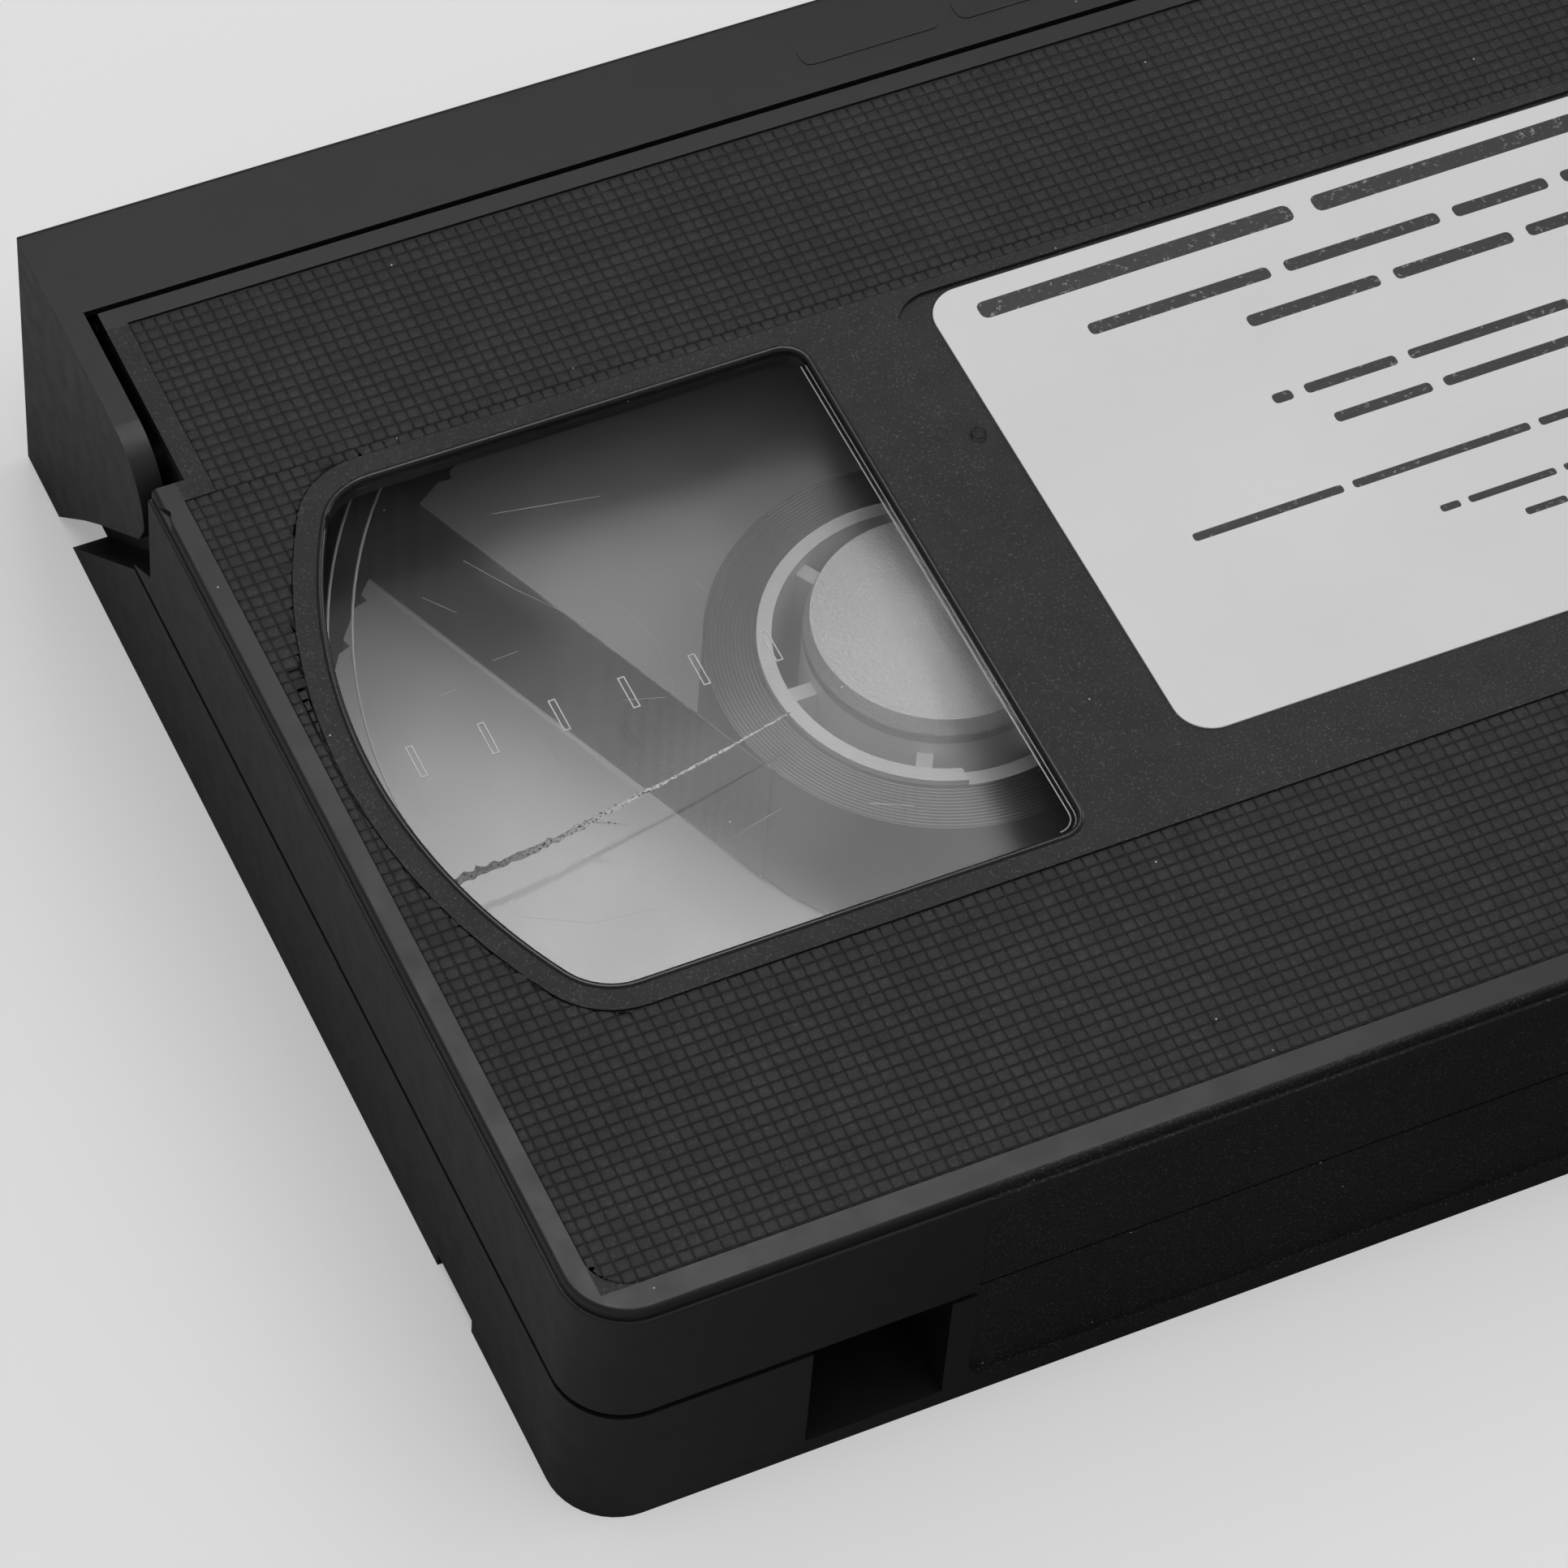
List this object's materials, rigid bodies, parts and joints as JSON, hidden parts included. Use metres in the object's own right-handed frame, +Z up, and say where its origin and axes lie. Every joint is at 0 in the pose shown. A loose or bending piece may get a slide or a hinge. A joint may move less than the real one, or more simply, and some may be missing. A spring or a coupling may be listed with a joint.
{
  "type": "video cassette",
  "caption": "Black half-inch video cassette with a hinged front door, two clear windows over the reels and a blank paper label.",
  "frame": {"origin": "centre of the underside, on the surface it lies on", "axes": "+X along the long side, to the take-up reel; +Y to the hinged front door; +Z up, to the labelled face"},
  "size_m": [0.188, 0.104, 0.025],
  "materials": {
    "shell": "fine moulded grain",
    "window": "clear, scratched",
    "label": "matt white",
    "spring": "bright",
    "lever": "satin",
    "tape": "dark satin",
    "screw": "zinc plated",
    "hub": "white satin",
    "flange": "clear",
    "cap": "frosted",
    "pin": "polished",
    "roller": "satin"
  },
  "bodies": {
    "case": {"lower_shell": "shell", "upper_shell": "shell", "left_window": "window", "right_window": "window", "face_label": "label", "door_spring": "spring", "supply_guide_pin": "pin", "takeup_guide_pin": "pin", "supply_roller_pin": "pin", "takeup_roller_pin": "pin", "tape_span": "tape", "supply_brake_spring": "spring", "takeup_brake_spring": "spring", "reel_leaf_spring": "spring", "shell_screws": "screw"},
    "door": {"front_door": "shell"},
    "lock": {"door_lock": "lever"},
    "supply_reel": {"supply_reel_hub": "hub", "supply_upper_flange": "flange", "supply_hub_cap": "cap", "supply_tape_clip": "hub", "supply_tape_pack": "tape"},
    "supply_roller": {"supply_guide_roller": "roller"},
    "supply_brake": {"supply_brake_pawl": "lever"},
    "takeup_reel": {"takeup_reel_hub": "hub", "takeup_upper_flange": "flange", "takeup_hub_cap": "cap", "takeup_tape_clip": "hub", "takeup_tape_pack": "tape"},
    "takeup_roller": {"takeup_guide_roller": "roller"},
    "takeup_brake": {"takeup_brake_pawl": "lever"},
    "brake_release": {"brake_release_lever": "lever"}
  },
  "joints": [
    {"name": "door_hinge", "type": "hinge", "parent": "case", "child": "door", "pos_m": [0, 0.032, 0.0195], "axis": [1, 0, 0], "range_deg": [0, 90], "stiffness_Nm_per_rad": 0.004, "springref_deg": -34.38},
    {"name": "lock_hinge", "type": "hinge", "parent": "case", "child": "lock", "pos_m": [0.0872, 0.0312, 0.0039], "axis": [0, 0, 1], "range_deg": [0, 6], "stiffness_Nm_per_rad": 0.01, "springref_deg": -5.73},
    {"name": "takeup_reel_spin", "type": "hinge", "parent": "case", "child": "takeup_reel", "pos_m": [0.0449, -0.0034, 0.0112], "axis": [0, 0, 1], "continuous": true},
    {"name": "supply_reel_spin", "type": "hinge", "parent": "case", "child": "supply_reel", "pos_m": [-0.0449, -0.0034, 0.0112], "axis": [0, 0, 1], "continuous": true},
    {"name": "supply_roller_spin", "type": "hinge", "parent": "case", "child": "supply_roller", "pos_m": [-0.0805, 0.0457, 0.0118], "axis": [0, 0, 1], "continuous": true},
    {"name": "takeup_roller_spin", "type": "hinge", "parent": "case", "child": "takeup_roller", "pos_m": [0.0805, 0.0457, 0.0118], "axis": [0, 0, 1], "continuous": true},
    {"name": "brake_release_hinge", "type": "hinge", "parent": "case", "child": "brake_release", "pos_m": [0, -0.047, 0.0082], "axis": [1, 0, 0], "range_deg": [0, 20], "stiffness_Nm_per_rad": 0.005, "springref_deg": -5.73},
    {"name": "supply_brake_hinge", "type": "hinge", "parent": "case", "child": "supply_brake", "pos_m": [-0.012, -0.0455, 0.0043], "axis": [0, 0, 1], "range_deg": [0, 9]},
    {"name": "takeup_brake_hinge", "type": "hinge", "parent": "case", "child": "takeup_brake", "pos_m": [0.012, -0.0455, 0.0043], "axis": [0, 0, -1], "range_deg": [0, 9]}
  ],
  "couplings": [
    {"joint": "supply_reel_spin", "follows": "takeup_reel_spin", "ratio": 1.25},
    {"joint": "supply_roller_spin", "follows": "takeup_reel_spin", "ratio": 6.5625},
    {"joint": "takeup_roller_spin", "follows": "takeup_reel_spin", "ratio": 6.5625},
    {"joint": "supply_brake_hinge", "follows": "brake_release_hinge", "ratio": 0.45},
    {"joint": "takeup_brake_hinge", "follows": "brake_release_hinge", "ratio": 0.45}
  ]
}
